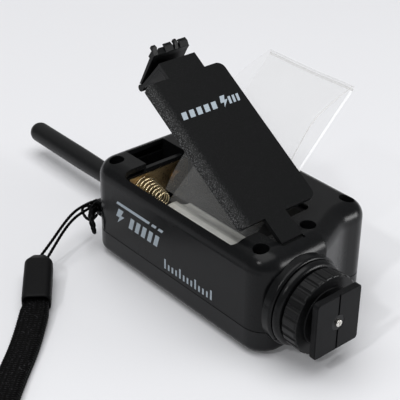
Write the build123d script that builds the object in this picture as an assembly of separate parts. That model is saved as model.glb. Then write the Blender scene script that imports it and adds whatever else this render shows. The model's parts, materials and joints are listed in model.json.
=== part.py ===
from build123d import *
import math
import os

# Wireless flash trigger, lying on its front panel with the battery door open.
# Millimetres. While it is built, x = 0 is the antenna end, y = 0 the long side that carries the
# strap, z = 0 the face it lies on. Each piece is moved by ORIGIN as it is written.

# ---- driving dimensions ----
BODY_X = 86.5          # the shoe end
BODY_FAR_X = 80.6      # the shoe end where it is set back
BODY_Y = 52.5
BODY_Z = 36.0
WALL = 1.8
PANEL_T = 1.4          # raised front panel
PARTING_Z = 9.6
EDGE_R = 6.0           # round of the battery side's edges
LOW_EDGE_R = 2.4       # round of the lower edges

SCREW_XY = [(7.4, 5.8), (7.4, 46.7), (78.6, 5.8), (78.0, 26.0), (74.2, 47.4)]
WELL_R = 2.6           # screw wells
SEAT_Z = 16.0
COLUMN_R = 4.0

CELL_R = 7.4           # cradle for a 14.5 mm cell
CELL_Y = (9.6, 24.9)
CELL_Z = 26.0
BAY_X = (16.0, 71.3)
BAY_Y = (1.8, 34.2)
RIDGE_Z = 21.6
TRAY_Z = 16.9

HINGE_X = 81.2
HINGE_Z = 34.5
DOOR_OPEN = 33.0       # degrees, as it stands open
DOOR_T = 1.6
DOOR_X = (16.35, 70.9)
DOOR_Y = (2.15, 33.85)
TONGUE_Y = (12.0, 20.6)
TONGUE_END_X = 80.0
BARREL_R = 1.0
HINGE_PIN_R = 0.5
TAB_X = 10.3
LEAF_Y = (12.2, 26.8)
FOLD = (8.7, 20.7)     # x, z of the latch's fold with the door shut
LATCH_WELL_X = (5.1, 14.4)
LATCH_WELL_Y = (11.6, 27.6)

SHOE_Y = 15.0
SHOE_Z = 18.3
BOSS_R = 15.0
BOSS_X = 91.9
POST_R = 5.9
RING_R = 13.3
RING_X = (92.6, 98.2)
WASHER_R = 9.6
WASHER_X = (96.5, 98.6)
FOOT_X = (101.0, 103.0)
FOOT_Y = 18.6          # across the rails
FOOT_Z = 19.8          # along the rails
PIN_R = 1.2
PIN_TIP_X = 103.7

ANTENNA_TIP_X = -73.6
ANTENNA_Y = 24.4
ANTENNA_R = (3.4, 4.0)         # at the root, near the tip

FILM_X = (21.3, 60.3)
FILM_T = 0.3
FILM_REACH_Y = 63.0
FILM_PATH = [(17.3, 22.0), (34.0, 37.4), (61.2, 62.6), (62.6, 64.2), (62.85, 65.0), (62.4, 65.5),
             (61.6, 65.3), (60.4, 64.7), (53.0, 62.6), (44.0, 59.0), (37.2, 50.6), (34.3, 46.2),
             (29.0, 42.4), (20.5, 35.6), (15.6, 27.0)]

BUTTON_XY = (20.0, 26.2)
DIAL_XY = (42.0, 26.2)
SLIDER_XY = (63.0, 26.2)
LED_XY = (20.0, 41.0)
JACK_X = (28.0, 46.0)
JACK_Z = 15.3

LUG = (-1.6, 5.0, 13.5)        # centre of the strap's eye
CORD_R = 0.5
STRAND_UPPER = [(-6.3, 4.4, 13.6), (-4.6, -1.6, 14.6), (-2.8, -7.1, 14.2),
                (-1.0, -12.6, 12.0), (0.7, -18.1, 9.0), (2.5, -23.7, 6.6)]
STRAND_LOWER = [(-5.9, 4.2, 11.9), (-4.4, -1.6, 12.3), (-2.6, -7.0, 12.0),
                (-0.5, -12.4, 10.2), (1.9, -17.8, 7.6), (4.4, -22.6, 5.8)]
FERRULE = ((2.7, -24.2, 6.0), (20.7, -37.5, 3.5))
FERRULE_W = 9.5
FERRULE_T = 6.8
WEB_W = 9.5
WEB_T = 2.6
WEB_PATH = [(21.6, -38.3), (33.3, -49.0), (46.8, -64.4), (60.0, -77.5), (76.0, -82.5),
            (93.0, -80.5), (108.0, -72.5), (120.0, -61.5)]

RUN = 0.05             # radial clearance of a turning or sliding fit
GAP = 0.35             # between pieces that pass each other

ORIGIN = Vector((ANTENNA_TIP_X + PIN_TIP_X) / 2, FILM_REACH_Y / 2, 0)


# ---- helpers ----
LOW = (Align.CENTER, Align.CENTER, Align.MIN)


def box(x, y, z):
    """A block between pairs of x, y and z."""
    middle = Pos((x[0] + x[1]) / 2, (y[0] + y[1]) / 2, (z[0] + z[1]) / 2)
    return middle * Box(x[1] - x[0], y[1] - y[0], z[1] - z[0])


def rod_x(x, y, z, r):
    return Pos(x[0], y, z) * Rot(0, 90, 0) * Cylinder(r, x[1] - x[0], align=LOW)


def rod_y(x, y, z, r):
    return Pos(x, y[0], z) * Rot(-90, 0, 0) * Cylinder(r, y[1] - y[0], align=LOW)


def rod_z(x, y, z, r):
    return Pos(x, y, z[0]) * Cylinder(r, z[1] - z[0], align=LOW)


def shoe_rod(x, r):
    return rod_x(x, SHOE_Y, SHOE_Z, r)


def prism_x(points, x):
    """A y-z outline carried along X."""
    face = make_face(Polyline(*[(x[0], py, pz) for py, pz in points], close=True))
    return extrude(face, amount=x[1] - x[0], dir=(1, 0, 0))


def prism_y(points, y):
    """An x-z outline carried along Y."""
    face = make_face(Polyline(*[(px, y[0], pz) for px, pz in points], close=True))
    return extrude(face, amount=y[1] - y[0], dir=(0, 1, 0))


def ribbon(points, width):
    """The outline of a line of this width: both sides of it, mitred at the bends."""
    sides = []
    for i, here in enumerate(points):
        before = points[max(i - 1, 0)]
        after = points[min(i + 1, len(points) - 1)]
        a = math.atan2(here[1] - before[1], here[0] - before[0]) if i else None
        b = math.atan2(after[1] - here[1], after[0] - here[0]) if i < len(points) - 1 else None
        a = b if a is None else a
        b = a if b is None else b
        mean = math.atan2(math.sin(a) + math.sin(b), math.cos(a) + math.cos(b))
        turn = math.remainder(b - a, 2 * math.pi)
        reach = width / 2 / math.cos(turn / 2)
        step = (-math.sin(mean) * reach, math.cos(mean) * reach)
        sides.append(((here[0] + step[0], here[1] + step[1]), (here[0] - step[0], here[1] - step[1])))
    return [left for left, right in sides] + [right for left, right in reversed(sides)]


def cord(points, r):
    """A round cord of straight runs joined by tangent arcs."""
    vectors = [Vector(*point) for point in points]
    radii = []
    for before, here, after in zip(vectors, vectors[1:], vectors[2:]):
        run = min((here - before).length, (after - here).length)
        turn = math.radians((here - before).get_angle(after - here))
        radii.append(round(0.45 * run / math.tan(turn / 2), 2))
    path = FilletPolyline(*points, radius=radii)
    start = Plane(path @ 0, z_dir=path % 0)
    tube = sweep(start * Circle(r), path=path)
    print("cord radii", radii, "volume ratio", tube.volume / (math.pi * r * r * path.length))
    return tube


def coil(start, length, radius, end_radius, wire, turns):
    """A round-wire spring along +X from start."""
    cone = math.degrees(math.atan((end_radius - radius) / length))
    line = Helix(length / turns, length, radius, center=start, direction=(1, 0, 0), cone_angle=cone)
    section = Plane(line @ 0, z_dir=line % 0) * Circle(wire / 2)
    return sweep(section, path=line, is_frenet=True)


def as_open(shape):
    """Turns a piece of the shut door to where it stands open."""
    return shape.rotate(Axis((HINGE_X, 0, HINGE_Z), (0, 1, 0)), DOOR_OPEN)


def plan(inset=0.0):
    """The housing's outline from above."""
    corners = [
        ((0, 0), 8.0),
        ((BODY_X, 0), 8.0),
        ((BODY_X, 26.0), 1.5),
        ((BODY_FAR_X, 40.0), 12.0),
        ((BODY_FAR_X, BODY_Y), 6.5),
        ((0, BODY_Y), 8.0),
    ]
    face = make_face(Polyline(*[c for c, _ in corners], close=True))
    for (cx, cy), r in corners:
        face = fillet(face.vertices().sort_by_distance((cx, cy, 0))[0], r)
    if inset:
        face = offset(face, amount=-inset)
    return face


def slab(inset, z):
    """The housing's outline, inset, between two heights."""
    return Pos(0, 0, z[0]) * extrude(plan(inset), amount=z[1] - z[0])


# ---- housing ----
def housing_blank():
    """Both shells as one hollow solid, before the openings."""
    outer = slab(0, (PANEL_T, BODY_Z))
    outer = fillet(outer.edges().group_by(Axis.Z)[-1], EDGE_R)
    outer = fillet(outer.edges().group_by(Axis.Z)[0], LOW_EDGE_R)
    root = shoe_rod((BODY_X - 0.5, BODY_X + 2.8), BOSS_R)
    root = fillet(root.edges().sort_by(Axis.X)[-1], 1.0)
    rim = shoe_rod((BODY_X - 0.5, BOSS_X), BOSS_R - 0.7)
    rim = fillet(rim.edges().sort_by(Axis.X)[-1], 1.8)
    groove = shoe_rod((BODY_X + 2.8, BODY_X + 3.4), BOSS_R + 1)
    groove -= shoe_rod((BODY_X + 2, BODY_X + 4), BOSS_R - 1.5)
    inner = slab(WALL, (PANEL_T + WALL, BODY_Z - WALL))
    inner = fillet(inner.edges().group_by(Axis.Z)[-1], EDGE_R - WALL)
    inner -= shoe_rod((74.5, BODY_X + 1), BOSS_R - 3)
    for x, y in SCREW_XY:
        inner -= rod_z(x, y, (0, BODY_Z), COLUMN_R)
    # the fine line where the two shells meet
    skin = slab(0.3, (PARTING_Z - 1, PARTING_Z + 1)) + shoe_rod((BODY_X - 3, BOSS_X + 1), BOSS_R - 1.0)
    seam = box((-5, BOSS_X - 1.5), (-10, 60), (PARTING_Z - 0.15, PARTING_Z + 0.15)) - skin
    return (outer + root + rim) - groove - inner - seam


def rear_shell(blank):
    top = BODY_Z + 1
    shell = blank & box((-5, 110), (-10, 60), (PARTING_Z, top))
    # the latch well's liner, the tongue's pocket and the hinge blocks, inside the roof
    wx, wy = LATCH_WELL_X, LATCH_WELL_Y
    shell += box((wx[0] - 1, wx[1]), (wy[0] - 1, wy[1] + 1), (17.2, BODY_Z - WALL))
    shell += box((wx[1], BAY_X[0] - 0.05), (wy[0] - 1, wy[1] + 1), (30.0, BODY_Z - WALL))
    ty = (TONGUE_Y[0] - GAP, TONGUE_Y[1] + GAP)
    shell += box((BAY_X[1] + 1.4, HINGE_X + 2.6), (ty[0] - 2, ty[1] + 2), (31.2, BODY_Z - WALL))
    # battery bay mouth
    mouth = fillet(Rectangle(BAY_X[1] - BAY_X[0], BAY_Y[1] - BAY_Y[0]).vertices(), 2.2)
    shell -= Pos(sum(BAY_X) / 2, sum(BAY_Y) / 2, 29.9) * extrude(mouth, amount=8)
    shell += box((wx[1], BAY_X[0] - 0.05), (BAY_Y[0] + 1, wy[1] + 3), (30.0, 33.0))
    # latch well, open towards the antenna end under the lip where the prongs catch
    shell -= box(wx, wy, (18.2, top))
    shell -= box((2.2, wx[0] + 0.1), wy, (31.4, BODY_Z - WALL))
    shell -= box((wx[1] - 0.1, BAY_X[0] + 0.1), wy, (BODY_Z - 1.95, top))
    # tongue slot and hinge pin bore
    shell -= box((BAY_X[1] - 0.1, HINGE_X + 1.0), ty, (32.6, top))
    shell -= rod_y(HINGE_X, ty, HINGE_Z, BARREL_R + GAP)
    shell -= rod_y(HINGE_X, (ty[0] - 1.7, ty[1] + 1.7), HINGE_Z, HINGE_PIN_R)
    # screw wells
    for x, y in SCREW_XY:
        shell -= rod_z(x, y, (SEAT_Z, top), WELL_R)
        shell -= rod_z(x, y, (0, SEAT_Z + 1), 1.4)
    # shoe post, its flange, antenna root and jacks
    shell -= shoe_rod((74, 110), POST_R + RUN)
    shell -= shoe_rod((81.2, 83.8), 8.0)
    shell -= rod_x((-1, 6), ANTENNA_Y, PARTING_Z, 4.3)
    for x in JACK_X:
        shell -= rod_y(x, (BODY_Y - WALL - 1, BODY_Y + 1), JACK_Z, 3.9)
    # strap eye on the corner
    lx, ly, lz = LUG
    eye = rod_y(lx, (ly - 1.2, ly + 1.2), lz, 3.0) + box((lx, 3), (ly - 1.2, ly + 1.2), (lz - 3, lz + 3))
    eye -= slab(WALL / 2, (0, BODY_Z))
    eye -= rod_y(lx, (ly - 3, ly + 3), lz, 1.5)
    return shell + eye


def front_shell(blank):
    shell = blank & box((-5, 110), (-10, 60), (0, PARTING_Z))
    for x, y in ((14, 40), (58, 8), (58, 44), (26, 8)):
        shell += rod_z(x, y, (PANEL_T + WALL - 0.1, 10.0), 1.6)
    for x, y in SCREW_XY:
        shell -= rod_z(x, y, (4.4, PARTING_Z + 1), 1.25)
    shell -= shoe_rod((74, 110), POST_R + RUN)
    shell -= shoe_rod((81.2, 83.8), 8.0)
    shell -= rod_x((-1, 6), ANTENNA_Y, PARTING_Z, 4.3)
    return shell - control_openings()


def control_openings():
    z = (-1, PANEL_T + WALL + 0.1)
    cut = rod_z(*BUTTON_XY, z, 4.0 + RUN)
    cut += rod_z(*DIAL_XY, z, 6.0 + RUN)
    x, y = SLIDER_XY
    cut += box((x - 5.4, x + 5.4), (y - 2.0 - RUN, y + 2.0 + RUN), z)
    return cut + rod_z(*LED_XY, z, 1.5)


def front_panel():
    panel = slab(3.4, (0, PANEL_T))
    panel = chamfer(panel.edges().group_by(Axis.Z)[0], 0.4)
    return panel - control_openings()


def screw(x, y):
    body = rod_z(x, y, (SEAT_Z, SEAT_Z + 1.8), 2.3) + rod_z(x, y, (5.0, SEAT_Z), 1.25)
    cross = box((x - 1.3, x + 1.3), (y - 0.25, y + 0.25), (SEAT_Z + 0.9, SEAT_Z + 2))
    cross += box((x - 0.25, x + 0.25), (y - 1.3, y + 1.3), (SEAT_Z + 0.9, SEAT_Z + 2))
    return body - cross


# ---- battery bay ----
def bay_cavity(x):
    cavity = box(x, (0, 32.3), (CELL_Z, 36)) + box(x, CELL_Y, (RIDGE_Z, CELL_Z + 1))
    for y in CELL_Y:
        cavity += rod_x(x, y, CELL_Z, CELL_R)
    return cavity


def battery_tray():
    tray = box((14.5, 72.6), (1.85, 35.6), (TRAY_Z, 29.95))
    tray += box((BAY_X[0], 72.6), (1.85, 35.6), (29.9, 34.0)) & box((0, 90), (6.2, 40), (0, 40))
    for x, y in ((78.0, 26.0), (78.6, 5.8)):
        tray -= rod_z(x, y, (0, BODY_Z), COLUMN_R + 0.1)
    ty = (TONGUE_Y[0] - GAP, TONGUE_Y[1] + GAP)
    tray -= box((BAY_X[1] - 0.1, 74), ty, (32.6, 36))
    return tray - bay_cavity(BAY_X)


def bay_label():
    """Foil label over the near cradle and the ridge, down into the far one."""
    x = (27.0, 69.6)
    skin = bay_cavity(x) - Pos(0, 0, 0.15) * bay_cavity((x[0] - 1, x[1] + 1))
    return skin & box(x, (3.0, 25.2), (17, 24.5))


def bridge_contact():
    """Joins the two cells at the antenna end: a flat for the spring, a raised cup for the other."""
    x = BAY_X[0]
    plate = box((x + 0.05, x + 0.4), (4.6, 29.6), (21.8, 32.4))
    return plate + rod_x((x + 0.05, x + 1.3), CELL_Y[1], CELL_Z, 2.6)


def end_plate(y):
    """A contact plate at the shoe end."""
    x = BAY_X[1]
    return box((x - 0.4, x - 0.05), (y - 4.8, y + 4.7), (21.8, 31.6))


def positive_terminal():
    x = BAY_X[1]
    return end_plate(CELL_Y[0]) + rod_x((x - 1.3, x - 0.05), CELL_Y[0], CELL_Z, 2.6)


def lift_film():
    """Clear ribbon that lifts the cells: held at the ridge, folded back on itself at its far end."""
    return prism_x(ribbon(FILM_PATH, FILM_T), FILM_X)


# ---- battery door ----
def door_section():
    """The panel's y-z outline: flat, with its near edge rounded over."""
    flat = Polyline((0, DOOR_Y[1], BODY_Z - DOOR_T), (0, DOOR_Y[1], BODY_Z), (0, EDGE_R, BODY_Z))
    low = math.radians(50)
    z = BODY_Z - EDGE_R

    def rim(r, angle):
        return (0, EDGE_R - r * math.cos(angle), z + r * math.sin(angle))

    inner = EDGE_R - DOOR_T
    middle = math.radians(70)
    outside = ThreePointArc(flat @ 1, rim(EDGE_R, middle), rim(EDGE_R, low))
    end = Line(outside @ 1, rim(inner, low))
    inside = ThreePointArc(end @ 1, rim(inner, middle), (0, EDGE_R, BODY_Z - DOOR_T))
    back = Line(inside @ 1, flat @ 0)
    return make_face([flat, outside, end, inside, back])


def leg_outline():
    """The leg from the tab down to the fold."""
    fx, fz = FOLD
    return [(TAB_X, BODY_Z - 1.0), (TAB_X + 1.2, BODY_Z - 1.0), (fx + 0.9, fz), (fx - 0.3, fz)]


def battery_door():
    panel = Pos(DOOR_X[0], 0, 0) * extrude(door_section(), amount=DOOR_X[1] - DOOR_X[0], dir=(1, 0, 0))
    outline = fillet(Rectangle(DOOR_X[1] - DOOR_X[0], DOOR_Y[1] - DOOR_Y[0]).vertices(), 2.6)
    panel &= Pos(sum(DOOR_X) / 2, sum(DOOR_Y) / 2, 30) * extrude(outline, amount=8)
    z = (BODY_Z - DOOR_T, BODY_Z)
    tongue = box((DOOR_X[1] - 1, TONGUE_END_X), TONGUE_Y, z)
    tongue += rod_y(HINGE_X, TONGUE_Y, HINGE_Z, BARREL_R)
    tongue += box((TONGUE_END_X - 0.5, HINGE_X), TONGUE_Y, (HINGE_Z - 0.6, HINGE_Z + 0.6))
    tab = box((TAB_X, DOOR_X[0] + 1), LEAF_Y, z)
    leg = prism_y(leg_outline(), LEAF_Y)
    ribs = box((24, 66), (16.7, 17.7), (BODY_Z - DOOR_T - 0.1, BODY_Z - DOOR_T))
    door = panel + tongue + tab + leg + ribs
    fx, fz = FOLD
    third = (LEAF_Y[1] - LEAF_Y[0]) / 3
    door -= box((fx - 2, fx + 2), (LEAF_Y[0] + third - 0.2, LEAF_Y[1] - third + 0.2), (fz - 2, fz + 1.9))
    for y in ((LEAF_Y[0], LEAF_Y[0] + third - 0.3), (LEAF_Y[1] - third + 0.3, LEAF_Y[1])):
        door += rod_y(fx, y, fz, 1.2)
    door -= rod_y(fx, (LEAF_Y[0] - 1, LEAF_Y[1] + 1), fz, 0.6 + RUN)
    door -= rod_y(HINGE_X, (0, BODY_Y), HINGE_Z, HINGE_PIN_R + RUN)
    return as_open(door)


def door_latch():
    """The sprung leaf: a toothed bar for the thumb, and prongs that catch under the housing's lip."""
    fx, fz = FOLD
    third = (LEAF_Y[1] - LEAF_Y[0]) / 3
    leaf = prism_y([(fx - 1.2, fz + 0.6), (fx - 0.5, fz + 1.2), (7.3, 34.2), (6.1, 34.2)], LEAF_Y)
    clear = rod_y(fx, LEAF_Y, fz, 1.2 + 0.32)
    leaf -= clear
    hub_y = (LEAF_Y[0] + third, LEAF_Y[1] - third)
    leaf += rod_y(fx, hub_y, fz, 1.2) + box((fx - 1.5, fx - 0.7), hub_y, (fz + 0.2, fz + 2.2))
    leaf += rod_y(fx, LEAF_Y, fz, 0.6)
    leaf += box((5.45, 7.3), LEAF_Y, (33.6, 35.9))
    for y in ((17.2, 20.4), (23.4, 26.6)):
        leaf += box((3.8, 5.6), y, (32.3, 33.85)) + box((5.4, 6.6), y, (32.3, 34.2))
    # grip teeth, leaning out over the lip
    tall = [(5.5, 35.4), (7.2, 35.4), (7.2, 36.0), (5.3, 37.9), (4.4, 37.7), (4.4, 36.6), (5.5, 36.4)]
    low = [(5.5, 35.4), (7.2, 35.4), (7.2, 36.0), (5.6, 37.0), (4.5, 36.9), (4.5, 36.5), (5.5, 36.4)]
    teeth = [((12.2, 13.9), tall), ((17.2, 20.4), low), ((21.0, 22.2), tall), ((23.2, 26.6), low)]
    for y, outline in teeth:
        tooth = prism_y(outline, y)
        leaf += fillet(tooth.edges().filter_by(Axis.Y, reverse=True).group_by(Axis.Z)[-1], 0.3)
    return as_open(leaf)


# ---- hot shoe ----
def shoe_post():
    post = shoe_rod((81.2, 83.8), 7.95) + shoe_rod((83.0, FOOT_X[0]), POST_R)
    return post - shoe_rod((90.0, FOOT_X[0] + 1), 2.6)


def locking_ring():
    ring = shoe_rod(RING_X, RING_R)
    ring = fillet(ring.edges().filter_by(GeomType.CIRCLE), 0.6)
    ring -= shoe_rod((RING_X[0] - 1, RING_X[1] + 1), POST_R + RUN)
    ring -= shoe_rod((96.15, RING_X[1] + 1), WASHER_R + RUN)
    for i in range(26):
        a = 2 * math.pi * i / 26
        y = SHOE_Y + (RING_R + 0.35) * math.cos(a)
        z = SHOE_Z + (RING_R + 0.35) * math.sin(a)
        ring -= rod_x((RING_X[0] - 1, RING_X[1] + 1), y, z, 0.85)
    return ring


def clamp_washer():
    washer = shoe_rod(WASHER_X, WASHER_R)
    washer = fillet(washer.edges().filter_by(GeomType.CIRCLE).sort_by(Axis.X)[-1], 0.4)
    return washer - shoe_rod((90, 102), POST_R + RUN)


def shoe_foot():
    y = (SHOE_Y - FOOT_Y / 2, SHOE_Y + FOOT_Y / 2)
    z = (SHOE_Z - FOOT_Z / 2, SHOE_Z + FOOT_Z / 2)
    foot = box(FOOT_X, y, z)
    foot = fillet(foot.edges().filter_by(Axis.X), 1.4)
    foot = chamfer(foot.edges().group_by(Axis.X)[-1], 0.3)
    foot -= box((FOOT_X[1] - 0.35, FOOT_X[1] + 1), (SHOE_Y - 0.35, SHOE_Y + 0.35), (0, BODY_Z))
    return foot - shoe_rod((FOOT_X[0] - 1, FOOT_X[1] + 1), 2.6)


def contact_insulator():
    return shoe_rod((99.2, FOOT_X[1] - 0.1), 2.6) - shoe_rod((99, 104), PIN_R + RUN)


def contact_pin():
    pin = shoe_rod((97.0, PIN_TIP_X), PIN_R)
    pin = fillet(pin.edges().filter_by(GeomType.CIRCLE).sort_by(Axis.X)[-1], 0.4)
    pin += shoe_rod((97.0, 98.9), 2.1)
    slot = (SHOE_Y - 0.18, SHOE_Y + 0.18)
    return pin - box((PIN_TIP_X - 0.35, PIN_TIP_X + 1), slot, (0, BODY_Z))


# ---- electronics and underside controls ----
def circuit_board():
    board = slab(2.6, (10.0, 11.4)) & box((7, 73.0), (0, 60), (0, 40))
    for x, y in SCREW_XY:
        board -= rod_z(x, y, (9, 13), COLUMN_R + 0.3)
    return board - box((0, 11), (ANTENNA_Y - 6, ANTENNA_Y + 6), (9, 13))


def jack(x):
    body = box((x - 4, x + 4), (38.5, BODY_Y - WALL), (11.4, JACK_Z + 3))
    body += rod_y(x, (BODY_Y - WALL - 1, BODY_Y - 0.2), JACK_Z, 3.85)
    return body - rod_y(x, (39.5, BODY_Y + 1), JACK_Z, 1.8)


def test_button():
    cap = rod_z(*BUTTON_XY, (0.3, 4.2), 4.0)
    cap = fillet(cap.edges().group_by(Axis.Z)[0], 0.5)
    cap += rod_z(*BUTTON_XY, (3.5, 4.4), 5.0)
    return cap + rod_z(*BUTTON_XY, (4.0, 5.9), 1.5)


def channel_dial():
    dial = rod_z(*DIAL_XY, (0.3, 4.4), 6.0)
    dial = chamfer(dial.edges().group_by(Axis.Z)[0], 0.4)
    dial += rod_z(*DIAL_XY, (3.5, 4.4), 7.0) + rod_z(*DIAL_XY, (4.2, 6.7), 2.0)
    x, y = DIAL_XY
    return dial - box((x - 4.6, x + 4.6), (y - 0.5, y + 0.5), (0, 1.3))


def mode_slider():
    x, y = SLIDER_XY
    knob = box((x - 2.4, x + 2.4), (y - 2.0, y + 2.0), (0.4, 4.2))
    knob -= box((x - 0.3, x + 0.3), (y - 3, y + 3), (0, 0.9))
    knob += box((x - 7.6, x + 7.6), (y - 3.4, y + 3.4), (3.5, 4.4))
    return knob + box((x - 1, x + 1), (y - 1, y + 1), (4, 5.6))


def antenna_sleeve():
    """Moulded whip, a little thicker towards its round tip."""
    z = PARTING_Z
    r, tip = ANTENNA_R
    x = (ANTENNA_TIP_X + tip, -40.0, -0.3)
    taper = Pos(x[1], ANTENNA_Y, z) * Rot(0, 90, 0) * Cone(tip, r, x[2] - x[1], align=LOW)
    body = rod_x((x[0], x[1]), ANTENNA_Y, z, tip) + Pos(x[0], ANTENNA_Y, z) * Sphere(tip) + taper
    return body - rod_x((-46, 1), ANTENNA_Y, z, 1.2)


def oriented(ends, width, thick):
    """A block along the line between two points, its width level."""
    a, b = Vector(*ends[0]), Vector(*ends[1])
    along = (b - a).normalized()
    across = Vector(0, 0, 1).cross(along).normalized()
    place = Plane(a, x_dir=along, z_dir=along.cross(across))
    return place * Pos((b - a).length / 2, 0, 0) * Box((b - a).length, width, thick), place


def strap_ferrule():
    block, place = oriented(FERRULE, FERRULE_W, FERRULE_T)
    near = Vector(*FERRULE[0])
    end = block.faces().sort_by_distance((near.X, near.Y, near.Z))[0]
    return chamfer(end.edges(), 1.6)


def strap_webbing():
    outline = ribbon(WEB_PATH, WEB_W)
    face = make_face(Polyline(*[(px, py, 0.1) for px, py in outline], close=True))
    return extrude(face, amount=WEB_T)


# ---- the pieces ----
blank = housing_blank()
pin_y = (TONGUE_Y[0] - GAP - 1.6, TONGUE_Y[1] + GAP + 1.6)

parts = {
    "rear_shell": rear_shell(blank),
    "front_shell": front_shell(blank),
    "front_panel": front_panel(),
    "housing_screws": Compound([screw(x, y) for x, y in SCREW_XY]),
    "battery_tray": battery_tray(),
    "bay_label": bay_label(),
    "bridge_contact": bridge_contact(),
    "contact_spring_near": coil((BAY_X[0] + 0.7, 10.4, 27.0), 10.0, 4.6, 2.6, 0.5, 7),
    "positive_terminal": positive_terminal(),
    "negative_terminal": end_plate(CELL_Y[1]),
    "contact_spring_far": coil((BAY_X[1] - 4.7, CELL_Y[1], CELL_Z), 4.0, 3.0, 4.4, 0.5, 4),
    "lift_film": lift_film(),
    "battery_door": battery_door(),
    "door_hinge_pin": rod_y(HINGE_X, pin_y, HINGE_Z, HINGE_PIN_R - 0.01),
    "door_latch": door_latch(),
    "shoe_post": shoe_post(),
    "clamp_washer": clamp_washer(),
    "locking_ring": locking_ring(),
    "shoe_foot": shoe_foot(),
    "contact_insulator": contact_insulator(),
    "contact_pin": contact_pin(),
    "contact_spring": coil((90.4, SHOE_Y, SHOE_Z), 6.2, 1.7, 1.7, 0.4, 6),
    "circuit_board": circuit_board(),
    "shield_can": box((54, 68.5), (38, 48), (11.4, 14.0)),
    "jack_camera": jack(JACK_X[0]),
    "jack_flash": jack(JACK_X[1]),
    "status_led": rod_z(*LED_XY, (0.3, 9.9), 1.45),
    "test_button": test_button(),
    "test_switch": box((17, 23), (23.2, 29.2), (7.1, 9.95)),
    "channel_dial": channel_dial(),
    "channel_switch": box((37.5, 46.5), (21.7, 30.7), (7.1, 9.95)),
    "mode_slider": mode_slider(),
    "mode_switch": box((56.5, 69.5), (23.2, 29.2), (6.2, 9.95)),
    "antenna_sleeve": antenna_sleeve(),
    "antenna_core": rod_x((-45, 5.5), ANTENNA_Y, PARTING_Z, 1.15),
    "antenna_bush": rod_x((-0.3, 5.8), ANTENNA_Y, PARTING_Z, 4.25) - rod_x((-1, 7), ANTENNA_Y, PARTING_Z, 1.2),
    "strap_hitch": Pos(-3.85, LUG[1], LUG[2]) * Torus(2.12, 0.55),
    "strap_cord_upper": cord(STRAND_UPPER, CORD_R),
    "strap_cord_lower": cord(STRAND_LOWER, CORD_R),
    "strap_ferrule": strap_ferrule(),
    "strap_webbing": strap_webbing(),
}

os.makedirs("parts", exist_ok=True)
for name, part in parts.items():
    export_step(Pos(*(-ORIGIN)) * part, f"parts/{name}.step")
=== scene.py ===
import json
import math

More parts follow.
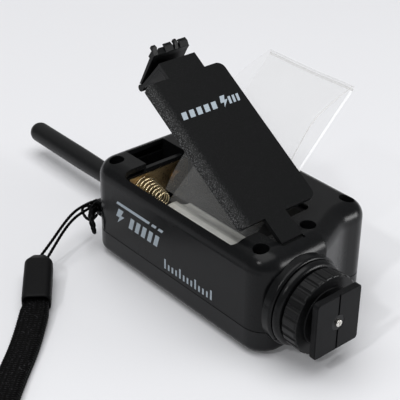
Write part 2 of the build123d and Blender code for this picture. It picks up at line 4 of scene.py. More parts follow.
import bmesh
import bpy
from mathutils import Matrix, Vector
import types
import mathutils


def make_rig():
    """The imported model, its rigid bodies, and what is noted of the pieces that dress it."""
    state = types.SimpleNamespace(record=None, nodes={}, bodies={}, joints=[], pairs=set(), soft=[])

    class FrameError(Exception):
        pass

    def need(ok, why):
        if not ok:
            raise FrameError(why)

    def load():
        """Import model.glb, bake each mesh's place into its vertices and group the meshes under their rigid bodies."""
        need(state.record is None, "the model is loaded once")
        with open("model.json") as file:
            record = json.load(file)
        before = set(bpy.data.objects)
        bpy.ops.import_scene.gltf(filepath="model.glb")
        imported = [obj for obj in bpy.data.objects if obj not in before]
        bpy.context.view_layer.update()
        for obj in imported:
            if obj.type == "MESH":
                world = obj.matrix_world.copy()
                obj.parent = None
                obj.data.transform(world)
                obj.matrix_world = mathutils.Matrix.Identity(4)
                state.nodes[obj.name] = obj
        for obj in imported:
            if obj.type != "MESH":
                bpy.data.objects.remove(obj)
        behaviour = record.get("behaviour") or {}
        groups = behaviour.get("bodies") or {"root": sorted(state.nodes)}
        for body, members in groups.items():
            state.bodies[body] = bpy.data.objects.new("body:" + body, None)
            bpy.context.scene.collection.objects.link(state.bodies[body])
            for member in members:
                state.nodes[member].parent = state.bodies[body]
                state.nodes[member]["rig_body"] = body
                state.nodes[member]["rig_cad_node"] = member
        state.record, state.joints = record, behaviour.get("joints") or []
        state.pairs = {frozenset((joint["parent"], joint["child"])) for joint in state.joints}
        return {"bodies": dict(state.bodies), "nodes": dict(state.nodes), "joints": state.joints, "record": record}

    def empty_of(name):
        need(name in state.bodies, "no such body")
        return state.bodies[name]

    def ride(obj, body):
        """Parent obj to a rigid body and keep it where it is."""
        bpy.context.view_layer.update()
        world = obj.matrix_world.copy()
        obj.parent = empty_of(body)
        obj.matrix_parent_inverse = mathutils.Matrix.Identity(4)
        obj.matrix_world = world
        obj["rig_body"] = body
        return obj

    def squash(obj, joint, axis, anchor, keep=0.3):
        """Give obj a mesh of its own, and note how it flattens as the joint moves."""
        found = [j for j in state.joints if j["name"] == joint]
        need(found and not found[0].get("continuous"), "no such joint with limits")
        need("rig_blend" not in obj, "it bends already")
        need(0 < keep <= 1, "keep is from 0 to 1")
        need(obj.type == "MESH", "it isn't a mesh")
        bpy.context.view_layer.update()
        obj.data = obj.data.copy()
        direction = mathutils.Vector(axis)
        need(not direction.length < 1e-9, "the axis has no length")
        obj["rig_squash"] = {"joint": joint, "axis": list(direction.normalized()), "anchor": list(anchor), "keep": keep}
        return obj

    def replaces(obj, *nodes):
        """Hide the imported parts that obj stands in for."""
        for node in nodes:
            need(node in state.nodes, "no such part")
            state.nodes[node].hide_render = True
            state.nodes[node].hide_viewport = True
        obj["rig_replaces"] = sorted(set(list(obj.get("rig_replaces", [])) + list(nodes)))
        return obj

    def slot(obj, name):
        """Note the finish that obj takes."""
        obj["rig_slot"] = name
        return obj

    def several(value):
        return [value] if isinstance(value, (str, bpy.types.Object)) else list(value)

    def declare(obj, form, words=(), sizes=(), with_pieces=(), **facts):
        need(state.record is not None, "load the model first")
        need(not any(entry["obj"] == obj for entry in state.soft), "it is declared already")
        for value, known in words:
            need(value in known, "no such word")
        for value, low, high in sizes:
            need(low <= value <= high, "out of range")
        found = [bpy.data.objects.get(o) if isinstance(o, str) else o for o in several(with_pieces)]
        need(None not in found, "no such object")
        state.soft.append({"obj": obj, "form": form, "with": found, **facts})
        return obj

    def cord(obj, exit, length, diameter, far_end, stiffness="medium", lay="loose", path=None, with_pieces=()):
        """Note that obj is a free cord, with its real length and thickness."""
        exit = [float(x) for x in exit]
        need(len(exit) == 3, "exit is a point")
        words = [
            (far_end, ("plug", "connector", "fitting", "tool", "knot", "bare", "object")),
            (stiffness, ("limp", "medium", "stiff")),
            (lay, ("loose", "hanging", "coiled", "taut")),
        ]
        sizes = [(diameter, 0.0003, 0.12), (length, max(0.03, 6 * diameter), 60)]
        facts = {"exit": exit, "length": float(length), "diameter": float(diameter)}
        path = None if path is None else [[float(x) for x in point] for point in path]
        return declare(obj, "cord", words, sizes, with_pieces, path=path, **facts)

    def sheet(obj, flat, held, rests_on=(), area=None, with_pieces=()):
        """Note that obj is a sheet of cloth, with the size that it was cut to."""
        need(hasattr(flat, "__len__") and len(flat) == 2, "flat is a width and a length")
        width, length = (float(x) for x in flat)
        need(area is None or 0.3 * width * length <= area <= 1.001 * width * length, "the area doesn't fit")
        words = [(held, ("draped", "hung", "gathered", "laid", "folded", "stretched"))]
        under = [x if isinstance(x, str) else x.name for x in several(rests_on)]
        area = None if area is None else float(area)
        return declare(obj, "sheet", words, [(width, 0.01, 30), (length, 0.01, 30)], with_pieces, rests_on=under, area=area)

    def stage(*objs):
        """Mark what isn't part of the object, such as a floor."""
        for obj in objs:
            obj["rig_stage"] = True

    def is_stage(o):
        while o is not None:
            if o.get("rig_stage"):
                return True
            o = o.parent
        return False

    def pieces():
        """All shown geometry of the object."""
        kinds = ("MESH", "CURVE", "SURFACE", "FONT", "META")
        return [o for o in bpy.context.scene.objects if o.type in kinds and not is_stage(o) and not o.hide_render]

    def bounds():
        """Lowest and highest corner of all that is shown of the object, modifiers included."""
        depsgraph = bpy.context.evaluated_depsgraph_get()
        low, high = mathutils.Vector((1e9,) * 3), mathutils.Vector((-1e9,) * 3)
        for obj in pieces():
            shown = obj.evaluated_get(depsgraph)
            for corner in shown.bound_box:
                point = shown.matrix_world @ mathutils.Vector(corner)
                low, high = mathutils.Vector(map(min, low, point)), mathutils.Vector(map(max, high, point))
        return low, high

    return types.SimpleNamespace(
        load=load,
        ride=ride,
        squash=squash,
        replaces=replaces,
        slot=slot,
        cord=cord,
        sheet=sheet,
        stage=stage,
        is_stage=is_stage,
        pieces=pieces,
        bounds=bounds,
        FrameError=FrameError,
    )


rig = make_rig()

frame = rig.load()
cad_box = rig.bounds()
nodes = frame["nodes"]
scene = bpy.context.scene

# The part's design frame: x = 0 at the antenna end, y = 0 the strap's side, z = 0 the surface.
ORIGIN = Vector((15.05, 31.5, 0))


def at(x, y, z):
    """A point of the design frame, in millimetres, in the row frame, in metres."""
    return (Vector((x, y, z)) - ORIGIN) / 1000


# ---- camera ----
AZIMUTH, ELEVATION, ROLL = (math.radians(a) for a in (49.2, 30.5, 0.79))
CAMERA_PLACE = (279.9, -192.1, 218.2)
FOCAL_LENGTH = 101.88
back = Vector((math.sin(AZIMUTH) * math.cos(ELEVATION), -math.cos(AZIMUTH) * math.cos(ELEVATION),
               math.sin(ELEVATION)))
level = Vector((math.cos(AZIMUTH), math.sin(AZIMUTH), 0))
upward = back.cross(level)
right = math.cos(ROLL) * level + math.sin(ROLL) * upward
up = math.cos(ROLL) * upward - math.sin(ROLL) * level
camera_data = bpy.data.cameras.new("camera")
camera_data.lens = FOCAL_LENGTH
camera_data.sensor_width = 36
camera_data.clip_start = 0.01
camera = bpy.data.objects.new("camera", camera_data)
turn = Matrix((right, up, back)).transposed().to_4x4()
camera.matrix_world = Matrix.Translation(at(*CAMERA_PLACE)) @ turn
scene.collection.objects.link(camera)
scene.camera = camera


# ---- materials ----
class Nodes:
    """A material being built on its Principled shader."""

    def __init__(self, name, color, rough, **sockets):
        self.mat = bpy.data.materials.new(name)
        self.mat.use_nodes = True
        self.tree = self.mat.node_tree
        self.shader = self.tree.nodes["Principled BSDF"]
        self.shader.inputs["Base Color"].default_value = (*color, 1)
        self.shader.inputs["Roughness"].default_value = rough
        for key, value in sockets.items():
            self.shader.inputs[key.replace("_", " ")].default_value = value
        self.height = None

    def node(self, kind, **inputs):
        """A node with its inputs set to constants or linked to other nodes' sockets."""
        made = self.tree.nodes.new(kind)
        for key, value in inputs.items():
            socket = made.inputs[key.replace("_", " ")]
            if isinstance(value, bpy.types.NodeSocket):
                self.tree.links.new(value, socket)
            else:
                socket.default_value = value
        return made

    def place(self, output="Object", scale=(1, 1, 1)):
        source = self.node("ShaderNodeTexCoord").outputs[output]
        return self.node("ShaderNodeMapping", Vector=source, Scale=scale).outputs[0]

    def noise(self, scale, detail=2.0, stretch=(1, 1, 1), distortion=0.0):
        made = self.node("ShaderNodeTexNoise", Vector=self.place(scale=stretch), Scale=scale,
                         Detail=detail, Distortion=distortion)
        return made.outputs["Fac"]

    def ramp(self, value, low, high, a, b):
        """value from low..high mapped to a..b."""
        made = self.node("ShaderNodeMapRange", Value=value)
        for key, number in (("From Min", low), ("From Max", high), ("To Min", a), ("To Max", b)):
            made.inputs[key].default_value = number
        return made.outputs[0]

    def blend(self, value, a, b):
        """A colour: a where value is 0, b where it is 1."""
        made = self.tree.nodes.new("ShaderNodeMix")
        made.data_type = "RGBA"
        self.tree.links.new(value, made.inputs["Factor"])
        for socket, color in ((made.inputs[6], a), (made.inputs[7], b)):
            if isinstance(color, bpy.types.NodeSocket):
                self.tree.links.new(color, socket)
            else:
                socket.default_value = (*color, 1)
        return made.outputs[2]

    def math(self, operation, a, b):
        made = self.tree.nodes.new("ShaderNodeMath")
        made.operation = operation
        for socket, value in zip(made.inputs, (a, b)):
            if isinstance(value, bpy.types.NodeSocket):
                self.tree.links.new(value, socket)
            else:
                socket.default_value = value
        return made.outputs[0]

    def link(self, value, socket):
        self.tree.links.new(value, self.shader.inputs[socket])
        return self

    def bump(self, value, distance):
        """Adds relief: value is its height, distance the height of a full step, in metres."""
        made = self.node("ShaderNodeBump", Height=value, Distance=distance, Strength=1.0)
        if self.height is not None:
            self.tree.links.new(self.height, made.inputs["Normal"])
        self.height = made.outputs[0]
        return self.link(self.height, "Normal")


def plastic(name, color, rough, grain=4200, depth=2.5e-5, specular=0.2, **sockets):
    """Moulded plastic: spark-eroded grain, faint mottling and rubbed patches."""
    m = Nodes(name, color, rough, Specular_IOR_Level=specular, **sockets)
    m.link(m.ramp(m.noise(60, 3), 0.3, 0.7, rough - 0.05, rough + 0.06), "Roughness")
    lighter = [c * 1.25 + 0.001 for c in color]
    m.link(m.blend(m.noise(900, 2), [c * 0.85 for c in color], lighter), "Base Color")
    return m.bump(m.noise(grain, 1), depth)


def metal(name, color, rough, stretch=(1, 1, 1), scale=900, depth=4e-6):
    m = Nodes(name, color, rough, Metallic=1.0)
    lines = m.noise(scale, 2, stretch)
    m.link(m.ramp(lines, 0.3, 0.7, rough - 0.06, rough + 0.1), "Roughness")
    return m.bump(lines, depth)


shell = plastic("shell_plastic", (0.005, 0.0053, 0.0058), 0.235, depth=1.5e-5, specular=0.16).mat
shell_low = plastic("front_shell_plastic", (0.0075, 0.0079, 0.0087), 0.3).mat
panel = plastic("panel_plastic", (0.008, 0.008, 0.009), 0.2, depth=6e-6).mat
# the door's flat is worn smooth, and its rounded edge on the strap's side keeps a coarse grain, with light specks in
# its colour that are a painted highlight of that grain
EDGE_GRAIN_GLINT_FROM, EDGE_GRAIN_GLINT_TO = -0.0288, -0.0244
door = Nodes("door_plastic", (0.0045, 0.0047, 0.005), 0.33, Specular_IOR_Level=0.13)
door_y = door.node("ShaderNodeSeparateXYZ", Vector=door.place()).outputs["Y"]
edge_grain_and_glint = door.ramp(door_y, EDGE_GRAIN_GLINT_FROM, EDGE_GRAIN_GLINT_TO, 1, 0.05)
# painted highlight: light specks in the rounded edge's colour stand in for glints off its grain
painted_glint_specks = door.math("MULTIPLY", door.ramp(door.noise(3300, 0), 0.55, 0.68, 0, 1), edge_grain_and_glint)
door.link(door.blend(painted_glint_specks, (0.0058, 0.0061, 0.0064), (0.085, 0.087, 0.09)), "Base Color")
door.link(door.ramp(edge_grain_and_glint, 0, 1, 0.34, 0.26), "Roughness")
door.bump(door.math("MULTIPLY", door.noise(2800, 1), edge_grain_and_glint), 2.2e-4)
door_plastic = door.bump(door.noise(4200, 1), 1.5e-5).mat
tray_plastic = plastic("tray_plastic", (0.008, 0.008, 0.0085), 0.35).mat
ring_plastic = plastic("ring_plastic", (0.005, 0.0052, 0.0056), 0.3).mat
control = plastic("control_plastic", (0.03, 0.031, 0.034), 0.4).mat
button_red = plastic("button_plastic", (0.35, 0.02, 0.015), 0.35).mat
led_red = plastic("led_plastic", (0.5, 0.02, 0.015), 0.12, depth=2e-6, Transmission_Weight=0.3).mat
antenna_rubber = plastic("antenna_rubber", (0.0055, 0.0057, 0.0062), 0.36, grain=3000, depth=1.5e-5).mat
shoe_paint = plastic("shoe_paint", (0.0058, 0.006, 0.0066), 0.36, grain=5000, depth=1.5e-5,
                     specular=0.08).mat
steel = metal("steel", (0.55, 0.55, 0.56), 0.3, (1, 12, 12)).mat
contact = metal("contact_plate", (0.72, 0.71, 0.68), 0.26, (1, 1, 14)).mat
nickel = metal("nickel_pin", (0.72, 0.7, 0.66), 0.22).mat
tin = metal("tinned_can", (0.62, 0.62, 0.63), 0.34, (1, 9, 1)).mat
gold = metal("spring_gold", (0.8, 0.68, 0.44), 0.16, scale=2600, depth=6e-6).mat
brass = metal("brass_plate", (0.5, 0.36, 0.19), 0.3, (1, 1, 9)).mat

foil = Nodes("label_foil", (0.7, 0.7, 0.67), 0.36, Metallic=0.3)
foil.bump(foil.noise(60, 4, (1, 1.6, 1), 1.0), 3e-4)
sheen = foil.ramp(foil.noise(90, 4, (1, 2, 1)), 0.4, 0.7, 0, 1)
foil.link(foil.blend(sheen, (0.7, 0.7, 0.665), (0.97, 0.97, 0.92)), "Base Color")
foil = foil.mat

board = Nodes("board", (0.01, 0.08, 0.03), 0.3, Coat_Weight=0.4)
tracks = board.ramp(board.noise(420, 0, (1, 3, 1)), 0.5, 0.52, 0, 1)
board.link(board.blend(tracks, (0.008, 0.06, 0.025), (0.02, 0.13, 0.05)), "Base Color")
board = board.mat

print_ink = Nodes("print_ink", (0.36, 0.42, 0.47), 0.5)
patches = print_ink.blend(print_ink.noise(3000, 2), (0.3, 0.36, 0.41), (0.42, 0.48, 0.53))
print_ink.link(patches, "Base Color")
print_ink = print_ink.mat

rubber = plastic("ferrule_rubber", (0.0045, 0.0045, 0.0049), 0.45, grain=2400, depth=6e-5,
                 specular=0.08).mat

film_clear = Nodes("film_clear", (0.72, 0.725, 0.72), 0.07, Alpha=0.135, IOR=1.5, Specular_IOR_Level=1.0)
film_clear.bump(film_clear.noise(70, 2), 2.5e-4)
film_clear = film_clear.mat
film_rim = Nodes("film_rim", (0.95, 0.96, 0.97), 0.25, Alpha=0.55, IOR=1.5)
# painted highlight: the rim's emission makes the cut edge glow a little
film_rim.shader.inputs["Emission Color"].default_value = (1, 1, 1, 1)
film_rim.shader.inputs["Emission Strength"].default_value = 0.3
film_rim.bump(film_rim.noise(300, 2), 1e-4)
film_rim = film_rim.mat
film_fold = Nodes("film_fold", (0.66, 0.655, 0.63), 0.3, Alpha=0.45, IOR=1.5)
film_fold.bump(film_fold.noise(300, 2), 1e-4)
film_fold = film_fold.mat


def woven(name, color, across, along):
    """Webbing or cord: yarns crossing over and under, laid out by the piece's own UVs."""
    m = Nodes(name, color, 0.5, Specular_IOR_Level=0.05)
    uv = m.place("UV", (across, along, 1))
    warp = m.node("ShaderNodeTexWave", Vector=uv, Scale=1.0, Distortion=0.4)
    warp.bands_direction = "X"
    weft = m.node("ShaderNodeTexWave", Vector=uv, Scale=1.0, Distortion=0.4)
    weft.bands_direction = "Y"
    over = m.math("MULTIPLY", warp.outputs["Fac"], weft.outputs["Fac"])
    # painted shade and highlight: the single yarn colour is darker where the yarns dip under and lighter on their
    # crowns
    yarn = m.blend(over, [c * 0.45 for c in color], [c * 1.7 for c in color])
    glint = m.ramp(m.noise(1700, 1), 0.64, 0.72, 0, 1)
    m.link(m.blend(glint, yarn, [c * 14 for c in color]), "Base Color")
    m.bump(over, 1.6e-4)
    return m.bump(m.noise(5000, 2), 3e-5).mat


webbing_cloth = woven("webbing_cloth", (0.0022, 0.0022, 0.0024), 7.5, 34)
cord_cloth = woven("cord_cloth", (0.0025, 0.0025, 0.0028), 1.2, 120)

finish = {
    "rear_shell": shell, "front_shell": shell_low, "front_panel": panel, "housing_screws": steel,
    "battery_tray": tray_plastic, "bay_label": foil, "bridge_contact": brass,
    "contact_spring_near": gold, "positive_terminal": contact, "negative_terminal": contact,
    "contact_spring_far": gold, "battery_door": door_plastic, "door_hinge_pin": steel,
    "door_latch": door_plastic, "shoe_post": shoe_paint, "clamp_washer": shoe_paint,
    "locking_ring": ring_plastic, "shoe_foot": shoe_paint, "contact_insulator": ring_plastic,
    "contact_pin": nickel, "contact_spring": nickel, "circuit_board": board, "shield_can": tin,
    "jack_camera": control, "jack_flash": control, "status_led": led_red, "test_button": button_red,
    "test_switch": control, "channel_dial": control, "channel_switch": control, "mode_slider": control,
    "mode_switch": control, "antenna_sleeve": antenna_rubber, "antenna_core": steel,
    "antenna_bush": control,
}
for name, material in finish.items():
    nodes[name].data.materials.clear()
    nodes[name].data.materials.append(material)


# ---- mesh helpers ----
def piece(name, verts, faces, material, uvs=None, smooth=True):
    mesh = bpy.data.meshes.new(name)
    mesh.from_pydata([tuple(v) for v in verts], [], faces)
    if uvs:
        layer = mesh.uv_layers.new(name="UVMap")
        for loop in mesh.loops:
            layer.data[loop.index].uv = uvs[loop.vertex_index]
    mesh.materials.append(material)
    obj = bpy.data.objects.new(name, mesh)
    scene.collection.objects.link(obj)
    bm = bmesh.new()
    bm.from_mesh(mesh)
    bmesh.ops.recalc_face_normals(bm, faces=bm.faces)
    bm.to_mesh(mesh)
    bm.free()
    for polygon in mesh.polygons:
        polygon.use_smooth = smooth
    return obj


def route(points):
    """The smooth line of a NURBS spline with these control points."""
    curve = bpy.data.curves.new("route", "CURVE")
    curve.dimensions = "3D"
    spline = curve.splines.new("NURBS")
    spline.points.add(len(points) - 1)
    for p, point in zip(spline.points, points):
        p.co = (*point, 1)
    spline.order_u = 3
    spline.use_endpoint_u = True
    spline.resolution_u = 24
    obj = bpy.data.objects.new("route", curve)
    scene.collection.objects.link(obj)
    bpy.context.view_layer.update()
    mesh = bpy.data.meshes.new_from_object(obj)
    line = [v.co.copy() for v in mesh.vertices]
    bpy.data.objects.remove(obj)
    return line


def spaced(line, step):
    """Points an even step apart along a line, with its length."""
    total = sum((b - a).length for a, b in zip(line, line[1:]))
    count = max(2, round(total / step))
    out, travelled, i = [line[0].copy()], 0.0, 0
    for n in range(1, count):
        goal = total * n / count
        while travelled + (line[i + 1] - line[i]).length < goal:
            travelled += (line[i + 1] - line[i]).length
            i += 1
        span = line[i + 1] - line[i]
        out.append(line[i] + span * ((goal - travelled) / span.length))
    return out + [line[-1].copy()], total


def sweep(name, line, section, material, upright=Vector((0, 0, 1))):
    """section(i, n) gives the outline at point i as (across, up) pairs; carried along the line."""
    n = len(line)
    verts, uvs, faces = [], [], []
    far = 0.0
    for i, p in enumerate(line):
        along = (line[min(i + 1, n - 1)] - line[max(i - 1, 0)]).normalized()
        across = along.cross(upright).normalized()
        high = across.cross(along)
        outline = section(i, n)
        far += (p - line[i - 1]).length if i else 0
        for j, (a, b) in enumerate(outline):
            verts.append(p + across * a + high * b)
            uvs.append((j / len(outline), far * 10))
    size = len(outline)
    for i in range(n - 1):
        for j in range(size):
            a, b = i * size + j, i * size + (j + 1) % size
            faces.append((a, b, b + size, a + size))
    faces.append(tuple(range(size)))
    faces.append(tuple(reversed(range((n - 1) * size, n * size))))
    return piece(name, verts, faces, material, uvs)


def round_section(radius, sides=12, wave=0.1, pitch=0.9):
    """A round cord whose two yarns stand a little proud and run round it."""
    def section(i, n):
        out = []
        for j in range(sides):
            a = 2 * math.pi * j / sides
            r = radius * (1 + wave * math.cos(2 * a + i * pitch))
            out.append((r * math.cos(a), r * math.sin(a)))
        return out
    return section


def rounded(width, height, corner, steps=4):
    """A rectangle's outline with round corners."""
    out = []
    for cx, cy, start in ((1, 1, 0), (-1, 1, 90), (-1, -1, 180), (1, -1, 270)):
        for k in range(steps + 1):
            a = math.radians(start + 90 * k / steps)
            out.append((cx * (width / 2 - corner) + corner * math.cos(a),
                        cy * (height / 2 - corner) + corner * math.sin(a)))
    return out


# ---- wrist strap ----
CORD_D = 0.001
YARN_STEP = 0.00018
STRAND_UPPER = [(-6.3, 4.4, 13.6), (-4.6, -1.6, 14.6), (-2.8, -7.1, 14.2),
                (-1.0, -12.6, 12.0), (0.7, -18.1, 9.0), (2.5, -23.7, 6.6)]
STRAND_LOWER = [(-5.9, 4.2, 11.9), (-4.4, -1.6, 12.3), (-2.6, -7.0, 12.0),
                (-0.5, -12.4, 10.2), (1.9, -17.8, 7.6), (4.4, -22.6, 5.8)]
WEB_PATH = [(21.6, -38.3), (33.3, -49.0), (46.8, -64.4), (60.0, -77.5), (76.0, -82.5),
            (93.0, -80.5), (108.0, -72.5), (120.0, -61.5)]

# ferrule: a moulded block, its shoulders drawn in at the cords, open where the webbing goes in
ferrule_a, ferrule_b = at(2.7, -24.2, 6.0), at(20.7, -37.5, 3.5)
# each station: how far along the block, in mm, with its width and thickness there
STATIONS = [(0.0, 4.4, 3.2), (0.12, 5.0, 3.8), (0.35, 5.4, 4.1), (2.9, 8.6, 6.2), (3.5, 9.15, 6.6),
            (4.3, 9.45, 6.75), (10.0, 9.5, 6.8), (21.4, 9.5, 6.8), (22.2, 9.4, 6.7), (22.5, 9.0, 6.3),
            (22.5, 8.4, 5.6), (22.0, 8.1, 5.2), (19.0, 8.0, 5.0)]
axis = (ferrule_b - ferrule_a).normalized()


def loft(name, stations, start, along, material, corner=0.3):
    """A block with round corners whose width and thickness change from station to station."""
    across = along.cross(Vector((0, 0, 1))).normalized()
    high = across.cross(along)
    verts, uvs = [], []
    for s, w, t in stations:
        outline = rounded(w, t, min(w, t) * corner)
        for j, (a, b) in enumerate(outline):
            verts.append(start + along * (s / 1000) + across * (a / 1000) + high * (b / 1000))
            uvs.append((j / len(outline), s / 10))
    size = len(outline)
    faces = [(i * size + j, i * size + (j + 1) % size, (i + 1) * size + (j + 1) % size, (i + 1) * size + j)
             for i in range(len(stations) - 1) for j in range(size)]
    faces += [tuple(range(size)), tuple(reversed(range((len(stations) - 1) * size, len(stations) * size)))]
    return piece(name, verts, faces, material, uvs)


ferrule = loft("strap_ferrule_block", STATIONS, ferrule_a, axis, rubber)
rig.replaces(ferrule, "strap_ferrule")
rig.ride(ferrule, "housing")
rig.slot(ferrule, "ferrule")

for name, points, node in (("strap_strand_upper", STRAND_UPPER, "strap_cord_upper"),
                           ("strap_strand_lower", STRAND_LOWER, "strap_cord_lower")):
    line, length = spaced(route([at(*p) for p in points]), YARN_STEP)
    strand = sweep(name, line, round_section(CORD_D / 2), cord_cloth)
    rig.replaces(strand, node)
    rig.ride(strand, "housing")
    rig.slot(strand, "cord")
    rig.cord(strand, exit=line[0], length=max(0.0305, round(length, 4)), diameter=CORD_D, far_end="fitting",
            stiffness="limp", lay="loose", path=line, with_pieces=[ferrule])

# lark's head: two turns through the eye, the loop left beside it and the knotted tail on the corner
LOOPS = [
    [(-1.4, 5.0, 13.0), (-2.6, 6.6, 14.4), (-5.0, 6.2, 14.4), (-6.5, 4.6, 13.4), (-5.6, 3.4, 12.4),
     (-3.2, 3.3, 13.2), (-1.4, 4.0, 13.8)],
    [(-1.5, 5.3, 13.8), (-3.0, 6.9, 12.4), (-5.6, 5.6, 11.4), (-6.4, 4.2, 12.4), (-4.6, 3.2, 11.8),
     (-2.4, 3.0, 12.0), (-1.5, 4.4, 13.0)],
    [(-3.0, 4.6, 12.4), (-6.6, 3.8, 12.2), (-9.6, 2.6, 10.9), (-9.6, 2.2, 8.6), (-6.4, 2.0, 7.2),
     (-3.0, 2.2, 8.4), (-1.6, 3.0, 11.0)],
    [(-2.4, 4.0, 13.4), (-1.0, 0.6, 14.6), (1.4, -1.6, 13.8), (2.9, -1.7, 10.8), (3.6, -1.5, 8.0),
     (2.4, -1.3, 7.0), (1.0, -1.3, 9.4), (-0.4, 0.0, 11.8), (-2.2, 3.0, 12.8)],
    [(-2.0, 2.4, 12.0), (0.6, -1.5, 11.6), (2.4, -2.3, 10.2), (4.2, -1.9, 10.6), (2.9, -1.9, 12.4),
     (0.2, -0.9, 12.6), (-1.8, 1.8, 13.6)],
    [(-3.6, 4.4, 14.2), (-2.4, 1.6, 15.0), (-0.6, -0.7, 13.6), (-0.8, -0.9, 11.4), (-2.4, 1.6, 11.0),
     (-3.4, 4.0, 12.0)],
]
hitch_parts = []
for k, points in enumerate(LOOPS):
    line, _ = spaced(route([at(*p) for p in points]), YARN_STEP)
    hitch_parts.append(sweep(f"hitch_turn_{k}", line, round_section(CORD_D * 0.52), cord_cloth,
                             Vector((0.3, 0.9, 0.3)).normalized()))
hitch = hitch_parts[0]
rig.replaces(hitch, "strap_hitch")
for part in hitch_parts:
    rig.ride(part, "housing")
    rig.slot(part, "cord")

# the webbing lies on the surface, and its first point is lifted into the ferrule's mouth
WEB_HALF = 4.75
PICK = 0.6
web_points = [at(x, y, 1.42 if x > 30 else 3.1) for x, y in WEB_PATH]
web_line, web_length = spaced(route(web_points), PICK / 1000)
web_start = web_line[0].copy()
inside = [ferrule_b - axis * (depth / 1000) for depth in (3.0, 1.6, 0.4)]


def web_section(i, n):
    """Two plies, one on the other, with selvedges that step out at each pick."""
    half = min(WEB_HALF - 0.2 * (i % 2), 3.9 + 0.1 * i)
    end = min(1.0, (n - 1 - i) * PICK / 1.3)
    thick = 1.28 * math.sqrt(max(0.02, 1 - (1 - end) ** 2))
    nip = 0.45 * min(1.0, end)
    top = [(-half, 0.62 * thick), (-half * 0.93, thick), (-half * 0.5, thick * 1.03), (0, thick * 1.04),
           (half * 0.5, thick * 1.03), (half * 0.93, thick), (half, 0.62 * thick)]
    side = [(half - nip, 0.0), (half, -0.62 * thick)]
    low = [(-x, -z) for x, z in top[1:-1]]
    other = [(-half, -0.62 * thick), (-half + nip, 0.0)]
    return [(x / 1000, z / 1000) for x, z in top + side + low + other]


webbing = sweep("strap_webbing_loop", inside + web_line, web_section, webbing_cloth)
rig.replaces(webbing, "strap_webbing")
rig.ride(webbing, "housing")
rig.slot(webbing, "cord")
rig.cord(webbing, exit=web_start, length=round(web_length, 3), diameter=0.0095, far_end="knot",
        stiffness="limp", lay="loose", path=web_line, with_pieces=[ferrule])

# ---- foil label, pressed into the near cradle, over the ridge and down into the far one ----
CELL_Y = (9.6, 24.9)
CELL_Z = 26
LABEL_R = 7.22
RIDGE = (17.2, 21.85)
FOIL = 0.06
LABEL_X = (23.0, 69.6)
CREASES = 78


def arc(y, start, end, steps):
    """Part of a cradle's round, from angle start to angle end in degrees."""
    angles = [math.radians(start + (end - start) * k / steps) for k in range(steps + 1)]
    return [(y + LABEL_R * math.cos(a), CELL_Z + LABEL_R * math.sin(a)) for a in angles]


LABEL = arc(CELL_Y[0], 187, 323, 40) + [RIDGE] + arc(CELL_Y[1], 217, 272, 16)


def label_section(i, n):
    """The cradle's outline, crinkled a little, most of all near its edges."""
    top = []
    for j, (y, z) in enumerate(LABEL):
        loose = 0.05 + 0.16 * math.exp(-j / 3.0) + 0.1 * math.exp(-(n - 1 - i) / 4) + 0.1 * math.exp(-i / 4)
        lift = loose * (1 + math.sin(0.9 * i + 0.5 * j) * math.sin(0.37 * i - 0.3 * j + 1))
        top.append((y, z + 0.5 * lift))
    low = [(y, z - FOIL) for y, z in reversed(LABEL)]
    return [(-y / 1000, z / 1000) for y, z in top + low]


label_step = (LABEL_X[1] - LABEL_X[0]) / CREASES
label_line = [at(LABEL_X[0] + label_step * k, 0, 0) for k in range(CREASES + 1)]
label = sweep("bay_label_foil", label_line, label_section, foil)
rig.replaces(label, "bay_label")
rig.ride(label, "housing")
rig.slot(label, "foil")

# ---- lifting film: from the ridge up to its fold and back over itself ----
FILM_PATH = [(17.3, 22.0), (34.0, 37.4), (61.2, 62.6), (62.6, 64.2), (62.85, 65.0), (62.4, 65.5),
             (61.6, 65.3), (60.4, 64.7), (53.0, 62.6), (44.0, 59.0), (37.2, 50.6), (34.3, 46.2),
             (29.0, 42.4), (20.5, 35.6), (15.6, 27.0)]
FILM_X = (21.3, 60.3)
FILM_WIDTH = (FILM_X[1] - FILM_X[0]) / 1000
COLUMNS = 80
film_line, film_length = spaced(route([at(FILM_X[0], y, z) for y, z in FILM_PATH]), 0.0009)
verts, uvs, faces = [], [], []
for i, p in enumerate(film_line):
    share = i / (len(film_line) - 1)
    for j in range(COLUMNS + 1):
        s = j / COLUMNS
        x = FILM_WIDTH * s
        ripple = 0.0004 * math.sin(7 * s + 9 * share) * math.sin(math.pi * share)
        verts.append(p + Vector((x, ripple, -ripple)))
        uvs.append((s, share))
for i in range(len(film_line) - 1):
    for j in range(COLUMNS):
        a = i * (COLUMNS + 1) + j
        faces.append((a, a + 1, a + COLUMNS + 2, a + COLUMNS + 1))
film = piece("lift_film_ribbon", verts, faces, film_clear, uvs)
film.data.materials.append(film_rim)
film.data.materials.append(film_fold)
# the lower ply's cut edge takes the glowing rim, a painted highlight, and the fold and the upper ply's edge look duller
for polygon in film.data.polygons:
    s, share = (sum(uvs[v][k] for v in polygon.vertices) / 4 for k in (0, 1))
    if 0.4885 < share < 0.495 or (s > 1 - 1 / COLUMNS and 0.5 < share < 0.8):
        polygon.material_index = 2
    elif s > 1 - 2 / COLUMNS and 0.2 < share < 0.5:
        polygon.material_index = 1
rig.replaces(film, "lift_film")
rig.ride(film, "housing")
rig.slot(film, "film")
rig.sheet(film, flat=(0.039, round(film_length, 3)), held="folded", rests_on=["battery_tray"])
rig.squash(film, "battery_door", axis=(0, 0.707, 0.707), anchor=at(40, 17.0, 22.0), keep=0.2)

# ---- the centre contact's spring, which shortens as the contact is pressed in ----
SHOE_Y, SHOE_Z = 15, 18.3
COIL_START, COIL_LENGTH, COIL_R, WIRE_R = 90.5, 6.0, 1.65, 0.2
COIL_TURNS, TURN_STEPS = 6, 36


def coil_point(k):
    """Step k along the coil, as a point of the row frame."""
    angle = math.tau * k / TURN_STEPS
    along = COIL_START + COIL_LENGTH * k / (COIL_TURNS * TURN_STEPS)
    return at(along, SHOE_Y + COIL_R * math.cos(angle), SHOE_Z + COIL_R * math.sin(angle))


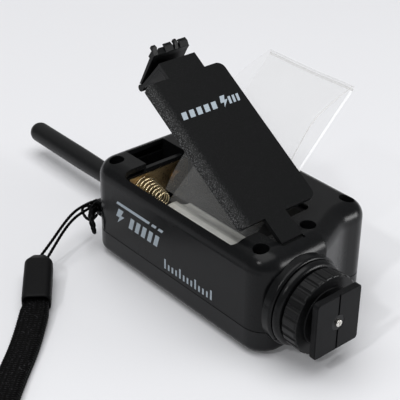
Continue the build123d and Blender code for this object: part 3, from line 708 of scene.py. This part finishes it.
coil_line = [coil_point(k) for k in range(COIL_TURNS * TURN_STEPS + 1)]
wire = round_section(WIRE_R / 1000, sides=8, wave=0)
contact_coil = sweep("contact_coil", coil_line, wire, nickel, Vector((1, 0, 0)))
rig.replaces(contact_coil, "contact_spring")
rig.ride(contact_coil, "housing")
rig.slot(contact_coil, "nickel")
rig.squash(contact_coil, "shoe_contact", axis=(1, 0, 0), anchor=at(90.4, SHOE_Y, SHOE_Z), keep=0.885)

# ---- printed marks: plain bars and a bolt, no lettering ----
HINGE_X, HINGE_Z, ROOF_Z = 81.2, 34.5, 36
HINGE = Vector((HINGE_X, 0, HINGE_Z))
OPEN = Matrix.Rotation(math.radians(33), 3, "Y")
PROUD, SUNK = 0.04, 0.05


def on_side(u, v, h):
    """On the strap's side of the housing: u along the body, v up."""
    return at(u, -h, v)


def on_door(u, v, h):
    """On the open door's outer face: u across it, v towards the latch."""
    return at(*(HINGE + OPEN @ (Vector((HINGE_X - v, u, ROOF_Z + h)) - HINGE)))


def slant(u, v, width, height, lean=0.0):
    """A bar from its lower left corner, its top pushed sideways by lean."""
    return [(u, v), (u + width, v), (u + width + lean, v + height), (u + lean, v + height)]


def bolt(u, v, size):
    """A flash bolt of this height, from its lower left."""
    shape = [(0.1, 0.0), (0.78, 0.6), (0.48, 0.6), (0.72, 1.0), (0.26, 1.0), (0.0, 0.42), (0.32, 0.42)]
    return [(u + size * a, v + size * b) for a, b in shape]


def mark(name, shapes, place, body, node_slot):
    """Flat prints standing a little proud of the plastic, one thin solid per shape."""
    verts, faces = [], []
    for shape in shapes:
        base, n = len(verts), len(shape)
        verts += [place(u, v, PROUD) for u, v in shape] + [place(u, v, -SUNK) for u, v in shape]
        faces += [tuple(range(base, base + n)), tuple(reversed(range(base + n, base + 2 * n)))]
        faces += [(base + i, base + (i + 1) % n, base + n + (i + 1) % n, base + n + i) for i in range(n)]
    made = piece(name, verts, faces, print_ink, smooth=False)
    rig.ride(made, body)
    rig.slot(made, node_slot)


level_bars = [slant(u, 24.2, width, 1.1, 0.8) for u, width in ((14.4, 17.5), (33.2, 2.2), (36.6, 2.2))]
level_bars += [slant(21.0 + 3.3 * k, 17.6, 2.0, 4.4, 1.4) for k in range(5)] + [bolt(14.2, 16.9, 5.8)]
mark("side_mark", level_bars, on_side, "housing", "shell")
ticks = [slant(40.0 + 1.9 * k, 11.4, 0.8, 3.6 if k % 4 == 0 else 2.2) for k in range(13)]
mark("side_scale", ticks, on_side, "housing", "shell")
stripes = [slant(7.6 + 3.0 * k, 49.6, 1.9, 2.6, 0.7) for k in range(5)] + [bolt(23.6, 49.0, 4.2)]
stripes += [slant(26.6 + 1.7 * k, 49.6, 1.0, 2.6, 0.7) for k in range(3)]
mark("door_mark", stripes, on_door, "door", "door")

# ---- stage ----
floor_mesh = bpy.data.meshes.new("floor")
bm = bmesh.new()
bmesh.ops.create_grid(bm, x_segments=1, y_segments=1, size=4)
bm.to_mesh(floor_mesh)
bm.free()
floor = bpy.data.objects.new("floor", floor_mesh)
scene.collection.objects.link(floor)
floor.location.z = -0.0001
floor_paint = Nodes("floor_paper", (0.80, 0.805, 0.83), 0.9)
floor_paint.link(floor_paint.blend(floor_paint.noise(40, 3), (0.797, 0.802, 0.828), (0.803, 0.808, 0.832)),
                 "Base Color")
floor_mesh.materials.append(floor_paint.mat)
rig.stage(floor)

world = bpy.data.worlds.new("world")
world.use_nodes = True
world.node_tree.nodes["Background"].inputs[0].default_value = (1, 1, 1, 1)
world.node_tree.nodes["Background"].inputs[1].default_value = 0.22
scene.world = world


# ---- light ----
def area(name, place, aim, size, power):
    """A rectangular light at place, facing aim: metres and watts."""
    data = bpy.data.lights.new(name, "AREA")
    data.shape = "RECTANGLE"
    data.size, data.size_y = size
    data.energy = power
    obj = bpy.data.objects.new(name, data)
    obj.location = place
    obj.rotation_euler = (Vector(place) - Vector(aim)).to_track_quat("Z", "Y").to_euler()
    scene.collection.objects.link(obj)


area("overhead", (0.0, -0.15, 1.7), (0, 0, 0), (1.8, 1.8), 25.6)
area("end_fill", (0.6, 0.45, 0.14), (0.07, 0.02, 0.02), (0.3, 0.2), 2.5)
area("far_fill", (-1.1, 0.25, 0.75), (0, 0, 0.03), (2.0, 0.8), 1.1)
area("key", (0.24, -0.95, 0.95), (0.03, 0, 0.03), (0.08, 0.08), 2.6)

scene.view_settings.view_transform = "Standard"

with open("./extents.json", "w") as out:
    json.dump({"cad": [list(v) for v in cad_box], "visual": [list(v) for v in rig.bounds()]}, out)
